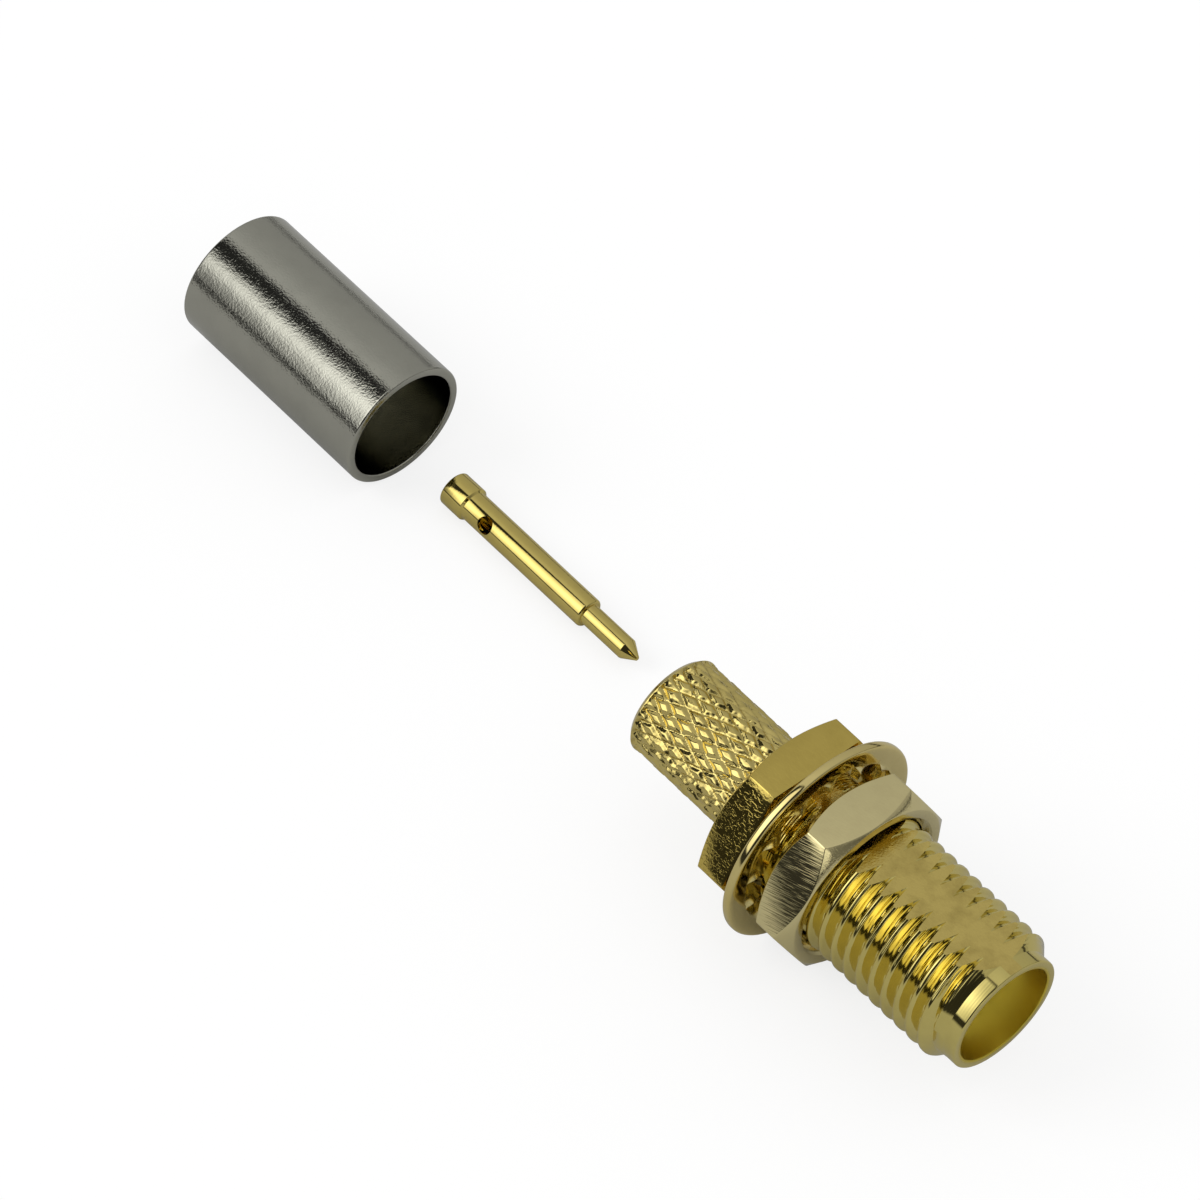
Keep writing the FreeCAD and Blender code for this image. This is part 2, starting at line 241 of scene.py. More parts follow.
class Marks(Wiring):
    """A shader node group that gives the height of a tool's marks at a place."""

    def __init__(self, grain: Grain) -> None:
        """Writes the group.

        Args:
            grain: Which marks it makes.
        """
        super().__init__(bpy.data.node_groups.new(grain.value, "ShaderNodeTree"))
        self.tree.interface.new_socket("Place", in_out="INPUT", socket_type="NodeSocketVector")
        self.tree.interface.new_socket("Height", in_out="OUTPUT", socket_type="NodeSocketFloat")
        self.place = self.tree.nodes.new("NodeGroupInput").outputs["Place"]
        write = {Grain.TURNED: self.turned, Grain.DRAWN: self.drawn, Grain.TUMBLED: self.tumbled,
                 Grain.SCALED: self.scaled, Grain.THREADED: self.threaded}[grain]
        self.feed(self.tree.nodes.new("NodeGroupOutput").inputs["Height"], write())

    @classmethod
    def group(cls, grain: Grain) -> bpy.types.NodeTree:
        """Gives the group of a grain, which is made once."""
        return bpy.data.node_groups.get(grain.value) or cls(grain).tree

    def turned(self) -> Socket:
        """Makes the fine rings that a lathe leaves round X, on outsides and on faces.

        Returns:
            The height's socket.
        """
        ring = self.join(self.split(self.place)[0], self.radius(self.place))
        coarse = self.times(self.noise(ring, (9, 9, 0), 1), 0.6)
        fine = self.times(self.noise(ring, (34, 34, 0), 1), 0.4)
        broken = self.noise(self.place, (5, 2.2, 2.2))
        return self.math("MULTIPLY_ADD", broken, 0.25, self.math("ADD", coarse, fine))

    def threaded(self) -> Socket:
        """Makes the scores that a thread tool leaves, faint on one side and at the lip, and none in the mouth.

        Returns:
            The height's socket.
        """
        scores_a_pitch = 6.0
        mouth = (2.40 * MM, 2.45 * MM)
        lip = (10.55 * MM, 10.3 * MM)
        chatter = (-66 / 360, -56 / 360)
        along, aside, up = self.split(self.place)
        turns = self.math("DIVIDE", self.math("ARCTAN2", aside, up), math.tau)
        pitches = self.math("MULTIPLY_ADD", along, 1 / (THREAD_PITCH * MM), turns)
        drift = self.noise(self.place, (5, 0.4, 0.4))
        wave = self.math("SINE", self.times(self.math("MULTIPLY_ADD", pitches, scores_a_pitch, drift), math.tau))
        depth = self.noise(self.place, (4, 0.5, 0.5), rough=0.6)
        kept = self.times(self.fade(self.radius(self.place), *mouth), self.fade(along, *lip, low=0.04),
                          self.fade(turns, *chatter, low=0.10))
        return self.times(wave, depth, depth, kept)

    def drawn(self) -> Socket:
        """Makes lines from drawing the bar, a little aslant, but none on the nut's rear face.

        Returns:
            The height's socket.
        """
        slant = (-0.125, -0.273)
        rear_face = (1.50 * MM, 1.56 * MM)
        along = self.split(self.place)[0]
        aslant = self.vector("ADD", self.place, self.join(0.0, *(self.times(along, slope) for slope in slant)))
        lines = self.fade(self.noise(aslant, (0.5, 13, 13), rough=0.65), 0.40, 0.58, soft=True)
        pits = self.noise(self.place, (9, 9, 9), rough=0.6)
        return self.times(self.math("MULTIPLY_ADD", pits, 0.12, lines), self.fade(along, *rear_face))

    def scaled(self) -> Socket:
        """Makes the short streaks and pits of a drawn bar's skin, but none on the flange's turned face.

        Returns:
            The height's socket.
        """
        front_face = (-0.06 * MM, -0.16 * MM)
        streaks = self.fade(self.noise(self.place, (3.6, 6, 6), rough=0.6), 0.42, 0.56, soft=True)
        pits = self.noise(self.place, (12, 12, 12), rough=0.6)
        return self.times(self.math("MULTIPLY_ADD", pits, 0.2, streaks),
                          self.fade(self.split(self.place)[0], *front_face))

    def tumbled(self) -> Socket:
        """Makes the even grain that tumbling and plating leave, on faint waves.

        Returns:
            The height's socket.
        """
        fine = self.noise(self.place, (10, 10, 10), rough=0.6)
        return self.math("ADD", fine, self.noise(self.place, (1.2, 1.2, 1.2), 1))


class Recipe(Wiring):
    """A Geometry Nodes tree with named sizes, which ends in plain geometry of one material."""

    def __init__(self, name: str) -> None:
        """Starts a tree with a way in and a way out.

        Args:
            name: The tree's name.
        """
        super().__init__(bpy.data.node_groups.new(name, "GeometryNodeTree"))
        self.tree.interface.new_socket("Geometry", in_out="INPUT", socket_type="NodeSocketGeometry")
        self.tree.interface.new_socket("Geometry", in_out="OUTPUT", socket_type="NodeSocketGeometry")
        self.tree.interface.new_socket("Material", in_out="INPUT", socket_type="NodeSocketMaterial")
        self.inlet = self.tree.nodes.new("NodeGroupInput")
        self.outlet = self.tree.nodes.new("NodeGroupOutput")

    def size(self, name: str, kind: str = "NodeSocketFloat") -> Socket:
        """Adds a named input of a socket type, and gives its socket inside the tree."""
        self.tree.interface.new_socket(name, in_out="INPUT", socket_type=kind)
        return self.inlet.outputs[name]

    def reshape(self, place: Socket, share: Socket) -> Socket:
        """Moves the points to a share of their distance from X.

        Args:
            place: Where the points are.
            share: The share.

        Returns:
            The geometry's socket.
        """
        moved = self.vector("MULTIPLY", place, self.join(1.0, share, share))
        return self.node("GeometryNodeSetPosition", {"Geometry": self.inlet.outputs["Geometry"],
                                                     "Position": moved}).outputs[0]

    def finish(self, geometry: Socket) -> None:
        """Ends the tree.

        Args:
            geometry: What the tree has made.
        """
        real = self.node("GeometryNodeRealizeInstances", {"Geometry": geometry})
        painted = self.node("GeometryNodeSetMaterial",
                            {"Geometry": real.outputs[0], "Material": self.inlet.outputs["Material"]})
        self.feed(self.outlet.inputs["Geometry"], painted.outputs[0])

    def apply(self, piece: Piece, paint: bpy.types.Material, **sizes: Any) -> None:
        """Puts the tree on a piece, and turns what it makes into the piece's mesh.

        Args:
            piece: The piece.
            paint: Its material.
            sizes: The other inputs by name, with _ for a space.
        """
        piece.data.materials.append(paint)
        modifier = piece.modifiers.new(self.tree.name, "NODES")
        modifier.node_group = self.tree
        named = {item.name: item.identifier for item in self.tree.interface.items_tree
                 if item.in_out == "INPUT"}
        for name, value in (("Material", paint), *sizes.items()):
            modifier[named[name.replace("_", " ")]] = value
        settle(piece)


def rounded(corners: Sequence[Corner], closed: bool = True, steps: int = 4) -> list[Spot]:
    """Rounds the corners of an outline.

    Args:
        corners: Each corner as place along X, distance from the axis, and its radius.
        closed: Whether the last corner joins the first.
        steps: How many pieces each arc has.

    Returns:
        The outline's points.
    """
    points: list[Spot] = []
    count = len(corners)
    for index, (x, r, radius) in enumerate(corners):
        here = Vector((x, r))
        if radius <= 0 or (not closed and index in (0, count - 1)):
            points.append((x, r))
            continue
        before = (Vector(corners[index - 1][:2]) - here).normalized()
        after = (Vector(corners[(index + 1) % count][:2]) - here).normalized()
        half = before.angle(after) / 2
        reach = radius / math.tan(half)
        centre = here + (before + after).normalized() * (radius / math.sin(half))
        start = here + before * reach - centre
        end = here + after * reach - centre
        sweep = start.angle_signed(end)
        for step in range(steps + 1):
            turned_by = Matrix.Rotation(-sweep * step / steps, 2)
            points.append(tuple(centre + turned_by @ start))
    return points


def linked(name: str, data: bpy.types.ID) -> Piece:
    """Makes an object and links it to the scene.

    Args:
        name: Its name.
        data: Its mesh, light or camera.

    Returns:
        The object.
    """
    made = bpy.data.objects.new(name, data)
    bpy.context.collection.objects.link(made)
    return made


def face_outwards(mesh: bpy.types.Mesh) -> None:
    """Turns the faces of a closed mesh outwards.

    Args:
        mesh: The mesh.
    """
    work = bmesh.new()
    work.from_mesh(mesh)
    bmesh.ops.recalc_face_normals(work, faces=work.faces)
    work.to_mesh(mesh)
    work.free()


def skin(name: str, points: Sequence[Corner], faces: Sequence[Sequence[int]], closed: bool = True) -> Piece:
    """Makes a mesh piece from points in millimetres.

    Args:
        name: The piece's name.
        points: Its points.
        faces: Its faces, as numbers of points.
        closed: Whether it is closed, so that its faces are turned outwards.

    Returns:
        The piece.
    """
    mesh = bpy.data.meshes.new(name)
    mesh.from_pydata([tuple(c * MM for c in point) for point in points], [], faces)
    if closed:
        face_outwards(mesh)
    return linked(name, mesh)


def columns_to_faces(columns: int, rows: int, closed_rows: bool = True) -> list[tuple[int, ...]]:
    """Joins a ring of columns into quads.

    Args:
        columns: How many columns stand round the axis.
        rows: How many points each column has.
        closed_rows: Whether each column's last point joins its first.

    Returns:
        The quads.
    """
    faces = []
    for column in range(columns):
        beside = (column + 1) % columns
        for row in range(rows if closed_rows else rows - 1):
            above = (row + 1) % rows
            faces.append((column * rows + row, beside * rows + row, beside * rows + above, column * rows + above))
    return faces


def turned(name: str, outline: Sequence[Spot], segments: int, axis: Spot = (0, 0)) -> Piece:
    """Turns an outline round a line along X.

    Args:
        name: The piece's name.
        outline: Points of place along X and distance from the axis. It is closed, or starts and ends on the axis.
        segments: How many steps go round.
        axis: Where the axis is, in Y and Z.

    Returns:
        The piece.
    """
    on_axis = outline[0][1] <= 0 and outline[-1][1] <= 0
    middle = outline[1:-1] if on_axis else outline
    points: list[Corner] = []
    for step in range(segments):
        angle = math.tau * step / segments
        points += [(x, axis[0] + r * math.sin(angle), axis[1] + r * math.cos(angle)) for x, r in middle]
    faces = columns_to_faces(segments, len(middle), not on_axis)
    if on_axis:
        for place, row in ((outline[0][0], 0), (outline[-1][0], len(middle) - 1)):
            pole = len(points)
            points.append((place, *axis))
            faces += [(pole, step * len(middle) + row, (step + 1) % segments * len(middle) + row)
                      for step in range(segments)]
    return skin(name, points, faces)


def settle(piece: Piece) -> None:
    """Turns a piece's modifiers into its plain mesh.

    Args:
        piece: The piece.
    """
    graph = bpy.context.evaluated_depsgraph_get()
    mesh = bpy.data.meshes.new_from_object(piece.evaluated_get(graph), preserve_all_data_layers=True, depsgraph=graph)
    before = piece.data
    piece.modifiers.clear()
    piece.data = mesh
    bpy.data.meshes.remove(before)
    mesh.name = piece.name


def break_edges(piece: Piece, width: float, segments: int, angle: float, clamp: bool) -> None:
    """Bevels a piece's sharp edges.

    Args:
        piece: The piece.
        width: The bevel's width in millimetres.
        segments: How many faces go across it.
        angle: How many degrees a sharp edge turns at least.
        clamp: Whether bevels stop where they would cross.
    """
    bevel = piece.modifiers.new("edges", "BEVEL")
    bevel.width = width * MM
    bevel.segments = segments
    bevel.limit_method = "ANGLE"
    bevel.angle_limit = math.radians(angle)
    bevel.use_clamp_overlap = clamp
    settle(piece)


def smooth(piece: Piece, angle: float = 32, weigh: bool = True,
           sharp: Callable[[bmesh.types.BMEdge], bool] | None = None) -> None:
    """Shades a piece smooth with sharp edges, and settles its normals.

    Args:
        piece: The piece.
        angle: Edges sharper than this many degrees stay sharp.
        weigh: Whether large faces keep their normals and small ones bend.
        sharp: A test for further edges that stay sharp.
    """
    mesh = piece.data
    mesh.shade_smooth()
    mesh.set_sharp_from_angle(angle=math.radians(angle))
    if sharp is not None:
        work = bmesh.new()
        work.from_mesh(mesh)
        for edge in work.edges:
            if sharp(edge):
                edge.smooth = False
        work.to_mesh(mesh)
        work.free()
    if weigh:
        piece.modifiers.new("weighted", "WEIGHTED_NORMAL").keep_sharp = True
        settle(piece)


def seat(piece: Piece, body: str, node: str) -> None:
    """Hands a finished piece over to the frame.

    Args:
        piece: The finished piece.
        body: The body it moves with.
        node: The CAD node it stands for.
    """
    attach(piece, body)
    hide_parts(node)
    log.info("%s: %d faces, on %s, for %s", piece.name, len(piece.data.polygons), body, node)


@dataclass(frozen=True)
class Finish:
    """What every finish has. Its relief is the depth of its marks in millimetres."""

    name: str
    grain: Grain
    colour: Colour
    roughness: float
    relief: float
    metallic: ClassVar[float]

    def surface(self, paint: Paint) -> tuple[Socket, Socket]:
        """Writes the sockets of colour and roughness, which change over the piece."""
        raise NotImplementedError

    def material(self) -> bpy.types.Material:
        """Makes the material.

        Returns:
            The material.
        """
        paint = Paint(self.name)
        shader = paint.tree.nodes["Principled BSDF"]
        marks = paint.node("ShaderNodeGroup", node_tree=Marks.group(self.grain))
        paint.feed(marks.inputs["Place"], paint.place)
        bump = paint.node("ShaderNodeBump", {"Height": marks.outputs[0], "Strength": 1.0,
                                             "Distance": self.relief * MM})
        colour, roughness = self.surface(paint)
        for label, value in (("Base Color", colour), ("Roughness", roughness), ("Normal", bump.outputs[0]),
                             ("Metallic", self.metallic)):
            paint.feed(shader.inputs[label], value)
        return paint.material


@dataclass(frozen=True)
class Plating(Finish):
    """A plated metal with dull patches. Inside a radius round X it can be duller and take a painted colour: painted
    shade in a hollow, painted light where it stands in for highlights.
    """

    shade: Colour
    uneven: float
    inside: float = 0
    inside_roughness: float = 0
    inside_light_and_shade: Colour = (1, 1, 1)
    inside_edge: float = 0.06
    metallic: ClassVar[float] = 1.0

    def surface(self, paint: Paint) -> tuple[Socket, Socket]:
        """Writes the patches, and the inside if there is one, whose colour is painted shade or painted light as its
        material gives it.

        Args:
            paint: The material's tree.

        Returns:
            The colour's and the roughness's sockets.
        """
        dull = paint.fade(paint.noise(paint.place, (0.9, 0.9, 0.9), 4, 0.6), 0.42, 0.72)
        colour = paint.blend(dull, self.colour, self.shade)
        roughness = paint.math("MULTIPLY_ADD", dull, self.uneven, self.roughness)
        if self.inside:
            within = paint.fade(paint.radius(paint.place), (self.inside + self.inside_edge) * MM,
                                (self.inside - self.inside_edge) * MM)
            # Painted light and shade: inside the radius the colour turns to a painted tone, darker for shade in a
            # hollow or lighter for highlights.
            colour = paint.blend(within, colour, self.inside_light_and_shade)
            roughness = paint.math("MULTIPLY_ADD", within, self.inside_roughness, roughness)
        return colour, roughness


@dataclass(frozen=True)
class Plastic(Finish):
    """A turned plastic with faint clouds, which are darker by a share and duller."""

    clouding: float
    uneven: float
    metallic: ClassVar[float] = 0.0

    def surface(self, paint: Paint) -> tuple[Socket, Socket]:
        """Writes the clouds.

        Args:
            paint: The material's tree.

        Returns:
            The colour's and the roughness's sockets.
        """
        cloud = paint.noise(paint.place, (1.5, 1.5, 1.5), 3)
        clouded = tuple(level * (1 - self.clouding) for level in self.colour)
        return (paint.blend(cloud, self.colour, clouded),
                paint.math("MULTIPLY_ADD", cloud, self.uneven, self.roughness))


TURNED_GOLD = Plating("turned_gold", Grain.TURNED, (0.78, 0.63, 0.19), roughness=0.04, relief=0.002,
                      shade=(0.72, 0.57, 0.17), uneven=0.04)
# Inside 2.42 mm, in the mouth, the colour turns to a darker olive gold: painted shade in the hollow.
THREADED_GOLD = Plating("threaded_gold", Grain.THREADED, (0.79, 0.665, 0.22), roughness=0.06, relief=0.019,
                        shade=(0.73, 0.61, 0.20), uneven=0.05,
                        inside=2.42, inside_roughness=0.28, inside_light_and_shade=(0.76, 0.60, 0.07))
FLAT_GOLD = Plating("flat_gold", Grain.TUMBLED, (0.83, 0.65, 0.195), roughness=0.10, relief=0.012,
                    shade=(0.60, 0.46, 0.13), uneven=0.12)
KNURLED_GOLD = Plating("knurled_gold", Grain.TUMBLED, (0.75, 0.61, 0.21), roughness=0.09, relief=0.004,
                       shade=(0.66, 0.53, 0.17), uneven=0.08)
FLANGE_GOLD = Plating("flange_gold", Grain.SCALED, (0.72, 0.55, 0.135), roughness=0.04, relief=0.0019,
                      shade=(0.66, 0.50, 0.12), uneven=0.04)
PALE_GOLD = Plating("pale_gold", Grain.DRAWN, (0.86, 0.75, 0.38), roughness=0.04, relief=0.0010,
                    shade=(0.81, 0.70, 0.355), uneven=0.04)
# Inside 4.0 mm, on the washer's teeth, the colour turns lighter: painted light that stands in for their highlights.
PRESSED_GOLD = Plating("pressed_gold", Grain.TUMBLED, (0.86, 0.71, 0.29), roughness=0.05, relief=0.0008,
                       shade=(0.80, 0.65, 0.25), uneven=0.05,
                       inside=4.0, inside_roughness=0.20, inside_light_and_shade=(0.97, 0.83, 0.36))
NICKEL = Plating("tumbled_nickel", Grain.TUMBLED, (0.47, 0.465, 0.395), roughness=0.06, relief=0.0105,
                 shade=(0.44, 0.435, 0.37), uneven=0.04)
WHITE_PLASTIC = Plastic("white_plastic", Grain.TURNED, (0.86, 0.85, 0.80), roughness=0.38, relief=0.006,
                        clouding=0.08, uneven=0.15)


@dataclass
class CrimpSleeve:
    """The loose tube that is crimped over the braid."""

    start: float = -37.9
    length: float = 10.9
    radius: float = 3.0
    bore: float = 2.6
    aside: float = 2.3
    height: float = -1.83
    outer_round: float = 0.12
    inner_round: float = 0.08

    def build(self) -> None:
        """Makes the sleeve."""
        end = self.start + self.length
        outline = rounded([
            (self.start, self.bore, self.inner_round), (end, self.bore, self.inner_round),
            (end, self.radius, self.outer_round), (self.start, self.radius, self.outer_round),
        ], steps=6)
        piece = turned("crimp_sleeve_look", outline, segments=192, axis=(self.aside, self.height))
        piece.data.materials.append(NICKEL.material())
        smooth(piece)
        seat(piece, "connector", "crimp_sleeve")


@dataclass
class CentreContact:
    """The loose gold contact, hollow at the rear, with a sight hole and a point."""

    start: float = -24.5
    aside: float = 3.3
    height: float = -4.03
    collar_radius: float = 0.80
    collar_length: float = 1.16
    collar_cone: float = 0.09
    collar_round: float = 0.05
    rear_round: float = 0.06
    shaft_radius: float = 0.68
    shaft_end: float = 8.62
    shoulder_round: float = 0.14
    pin_radius: float = 0.48
    pin_length: float = 2.33
    pin_round: float = 0.12
    point_length: float = 0.67
    tip_radius: float = 0.085
    tip_round: float = 0.05
    edge_round: float = 0.03
    cup_radius: float = 0.48
    cup_depth: float = 3.1
    cup_slope: float = 30
    hole_radius: float = 0.39
    hole_place: float = 2.56
    hole_turn: float = 60

    def build(self) -> None:
        """Makes the contact."""
        shaft_start = self.collar_length + self.collar_cone
        pin_end = self.shaft_end + self.pin_length
        tip = pin_end + self.point_length
        corners = [
            (self.cup_depth + self.cup_radius * math.tan(math.radians(self.cup_slope)), 0, 0),
            (self.cup_depth, self.cup_radius, 0),
            (0, self.cup_radius, self.edge_round),
            (0, self.collar_radius, self.rear_round),
            (self.collar_length, self.collar_radius, self.collar_round),
            (shaft_start, self.shaft_radius, self.edge_round),
            (self.shaft_end, self.shaft_radius, self.shoulder_round),
            (self.shaft_end, self.pin_radius, self.edge_round),
            (pin_end, self.pin_radius, self.pin_round),
            (tip, self.tip_radius, self.tip_round),
            (tip, 0, 0),
        ]
        outline = [(x + self.start, r) for x, r in rounded(corners, closed=False, steps=5)]
        piece = turned("centre_contact_look", outline, segments=96, axis=(self.aside, self.height))
        self.drill(piece)
        piece.data.materials.append(TURNED_GOLD.material())
        smooth(piece)
        seat(piece, "connector", "centre_contact")

    def drill(self, piece: Piece) -> None:
        """Drills the sight hole.

        Args:
            piece: The turned contact.
        """
        reach = self.shaft_radius * 2
        bit = [(0, 0), (0, self.hole_radius), (reach, self.hole_radius), (reach, 0)]
        drill = turned("drill", bit, segments=40)
        turn = Matrix.Rotation(math.radians(self.hole_turn), 4, "X") @ Matrix.Rotation(math.radians(-90), 4, "Y")
        place = Matrix.Translation(Vector((self.start + self.hole_place, self.aside, self.height)) * MM)
        drill.data.transform(place @ turn)
        modifier = piece.modifiers.new("hole", "BOOLEAN")
        modifier.object = drill
        modifier.operation = "DIFFERENCE"
        modifier.solver = "EXACT"
        settle(piece)
        bpy.data.objects.remove(drill)


@dataclass
class Insulator:
    """The plastic bead in the shell, with a hole in three steps for the contact."""

    start: float = -0.5
    length: float = 9.9
    radius: float = 2.03
    collar_hole: float = 0.83
    collar_depth: float = 1.22
    shaft_hole: float = 0.71
    pin_hole: float = 0.51
    pin_depth: float = 1.37
    hole_round: float = 0.05
    rim_round: float = 0.08

    def build(self) -> None:
        """Makes the insulator."""
        end = self.start + self.length
        collar, pin = self.start + self.collar_depth, end - self.pin_depth
        outline = rounded([
            (self.start, self.collar_hole, self.hole_round), (collar, self.collar_hole, 0),
            (collar, self.shaft_hole, 0), (pin, self.shaft_hole, 0), (pin, self.pin_hole, 0),
            (end, self.pin_hole, self.hole_round), (end, self.radius, self.rim_round),
            (self.start, self.radius, self.rim_round),
        ])
        piece = turned("insulator_look", outline, segments=96)
        piece.data.materials.append(WHITE_PLASTIC.material())
        smooth(piece)
        seat(piece, "connector", "insulator")


@dataclass
class Hexagon:
    """A hexagon round X with a hole, whose first flat is turned from +Z, away from +Y.

    Its corners are turned off from the face radius outwards, always at the rear and, if it is so, at the front.
    """

    across: float
    rear: float
    front: float
    face_radius: float
    chamfer: float
    front_chamfer: bool
    turn: float
    corner_round: float = 0.10
    edge_width: float = 0.022
    edge_angle: float = 38

    def radii(self, per_flat: int = 20, per_corner: int = 5) -> list[Spot]:
        """Works out the outline square to X.

        Args:
            per_flat: How many steps a flat has.
            per_corner: How many steps a rounded corner has.

        Returns:
            Angles in radians with their radii.
        """
        half = self.across / 2
        sector = math.radians(30)
        inner = half - self.corner_round
        ends = math.atan(inner * math.tan(sector) / half)
        centre = inner / math.cos(sector)
        found = []
        for side in range(6):
            middle = math.radians(60 * side - self.turn)
            for step in range(per_flat + 1):
                angle = -ends + 2 * ends * step / per_flat
                found.append((middle + angle, half / math.cos(angle)))
            spread = sector - ends
            for step in range(1, per_corner):
                angle = -spread + 2 * spread * step / per_corner
                radius = centre * math.cos(angle) + math.sqrt(self.corner_round ** 2 - (centre * math.sin(angle)) ** 2)
                found.append((middle + sector + angle, radius))
        return found

    def drop(self, radius: float) -> float:
        """Gives how far the chamfer lies below the face at a radius."""
        return max(0.0, radius - self.face_radius) * math.tan(math.radians(self.chamfer))

    def build(self, name: str, inside: Sequence[Spot]) -> Piece:
        """Makes the hexagon.

        Args:
            name: The piece's name.
            inside: The hole's outline from the front face to the rear face.

        Returns:
            The bare piece.
        """
        points: list[Corner] = []
        outline = self.radii()
        for angle, radius in outline:
            front = self.front - (self.drop(radius) if self.front_chamfer else 0)
            column = [(self.rear, self.face_radius), (self.rear + self.drop(radius), radius), (front, radius),
                      (self.front, self.face_radius), *inside]
            points += [(x, r * math.sin(angle), r * math.cos(angle)) for x, r in column]
        piece = skin(name, points, columns_to_faces(len(outline), 4 + len(inside)))
        break_edges(piece, self.edge_width, 2, self.edge_angle, clamp=False)
        return piece


class KnurlRecipe(Recipe):
    """Presses two crossing families of grooves into a stem, worn and a little out of line."""

    DRIFTS = 1.1
    DENTS = 3.0
    CORNER_BLUR = 0.25
    RUN_OUT = 0.06
    SKIN = 0.01

    def __init__(self) -> None:
        """Writes the tree."""
        super().__init__("Diamond knurl")
        stem, depth, around, along, width, rough, start, end, turn_phase, along_phase, wander = map(self.size, (
            "Stem Radius", "Depth", "Grooves Round", "Grooves A Metre", "Groove Width", "Roughness", "Start", "End",
            "Phase Round", "Phase Along", "Wander"))
        place = self.node("GeometryNodeInputPosition").outputs[0]
        x, y, z = self.split(place)
        radius = self.radius(place)
        turn = self.math("MULTIPLY_ADD", self.math("ARCTAN2", y, z), self.math("DIVIDE", around, math.tau), turn_phase)
        advance = self.math("MULTIPLY_ADD", self.math("SUBTRACT", x, start), along, along_phase)
        drift = self.noise(place, (self.DRIFTS,) * 3, output=1)
        drifts = self.split(self.vector("SUBTRACT", drift, (0.5, 0.5, 0.5)))
        heights = []
        for family, moved_by in (("ADD", drifts[0]), ("SUBTRACT", drifts[1])):
            line = self.math(family, self.math("ADD", turn, 1000.0), advance)
            phase = self.math("FRACT", self.math("MULTIPLY_ADD", moved_by, wander, line))
            away = self.times(self.math("ABSOLUTE", self.math("SUBTRACT", phase, 0.5)), 2.0)
            heights.append(self.math("MINIMUM", self.math("DIVIDE", away, width), 1.0))
        height = self.math("SMOOTH_MIN", *heights, self.CORNER_BLUR)
        ends = self.math("MINIMUM", self.math("SUBTRACT", x, start), self.math("SUBTRACT", end, x))
        inside = self.fade(ends, 0.0, self.RUN_OUT * MM)
        outer = self.math("GREATER_THAN", radius, self.math("SUBTRACT", stem, self.SKIN * MM))
        worn = self.times(self.noise(place, (self.DENTS,) * 3), rough)
        sunk = self.times(self.math("MULTIPLY_ADD", self.math("SUBTRACT", 1.0, height), depth, worn), inside, outer)
        self.finish(self.reshape(place, self.math("DIVIDE", self.math("SUBTRACT", radius, sunk), radius)))


class ThreadRecipe(Recipe):
    """Cuts a right-handed V thread into a barrel, and then mills the flat."""

    ROOT_BLUR = 0.16
    CREST_BLUR = 0.07
    CUTTER_SIDE = 30

    def __init__(self) -> None:
        """Writes the tree."""
        super().__init__("Barrel thread")
        crest, pitch, depth, land, start, flat = map(self.size, (
            "Crest Radius", "Pitch", "Depth", "Crest Width", "Groove Place", "Flat Height"))
        place = self.node("GeometryNodeInputPosition").outputs[0]
        x, y, z = self.split(place)
        radius = self.radius(place)
        turns = self.math("DIVIDE", self.math("ARCTAN2", y, z), math.tau)
        phase = self.math("ADD", self.math("DIVIDE", self.math("SUBTRACT", x, start), pitch), turns)
        from_groove = self.math("SUBTRACT", self.math("FRACT", self.math("ADD", phase, 100.5)), 0.5)
        away = self.times(pitch, self.math("ABSOLUTE", from_groove))
        edge = self.math("DIVIDE", self.math("SUBTRACT", pitch, land), 2.0)
        flank = self.times(self.math("SUBTRACT", edge, away), math.sqrt(3))
        rooted = self.math("SMOOTH_MIN", flank, depth, self.ROOT_BLUR * MM)
        cut = self.math("SMOOTH_MAX", rooted, 0.0, self.CREST_BLUR * MM)
        reach = self.math("MINIMUM", radius, self.math("SUBTRACT", crest, cut))
        shaped = self.reshape(place, self.math("DIVIDE", reach, radius))
        side = self.CUTTER_SIDE * MM
        cutter = self.node("GeometryNodeMeshCube", {"Size": (side, side, side)})
        placed = self.node("GeometryNodeTransform", {"Geometry": cutter.outputs[0],
                                                     "Translation": self.join(z=self.math("ADD", flat, side / 2))})
        milled = self.node("GeometryNodeMeshBoolean", operation="DIFFERENCE", solver="EXACT")
        self.feed(milled.inputs["Mesh 1"], shaped)
        self.feed(milled.inputs["Mesh 2"], placed.outputs[0])
        self.finish(milled.outputs[0])


class TeethRecipe(Recipe):
    """Repeats one sector of a washer round X and joins the sectors."""

    WELD = 0.0005

    def __init__(self) -> None:
        """Writes the tree."""
        super().__init__("Washer teeth")
        count = self.size("Count", "NodeSocketInt")
        turn = self.size("Turn")
        line = self.node("GeometryNodeMeshLine", {"Count": count, "Offset": (0.0, 0.0, 0.0)})
        index = self.node("GeometryNodeInputIndex").outputs[0]
        angle = self.math("ADD", self.times(index, self.math("DIVIDE", math.tau, count)), turn)
        spread = self.node("GeometryNodeInstanceOnPoints", {
            "Points": line.outputs[0], "Instance": self.inlet.outputs["Geometry"], "Rotation": self.join(angle)})
        real = self.node("GeometryNodeRealizeInstances", {"Geometry": spread.outputs[0]})
        joined = self.node("GeometryNodeMergeByDistance", {"Geometry": real.outputs[0], "Distance": self.WELD * MM})
        self.finish(joined.outputs[0])


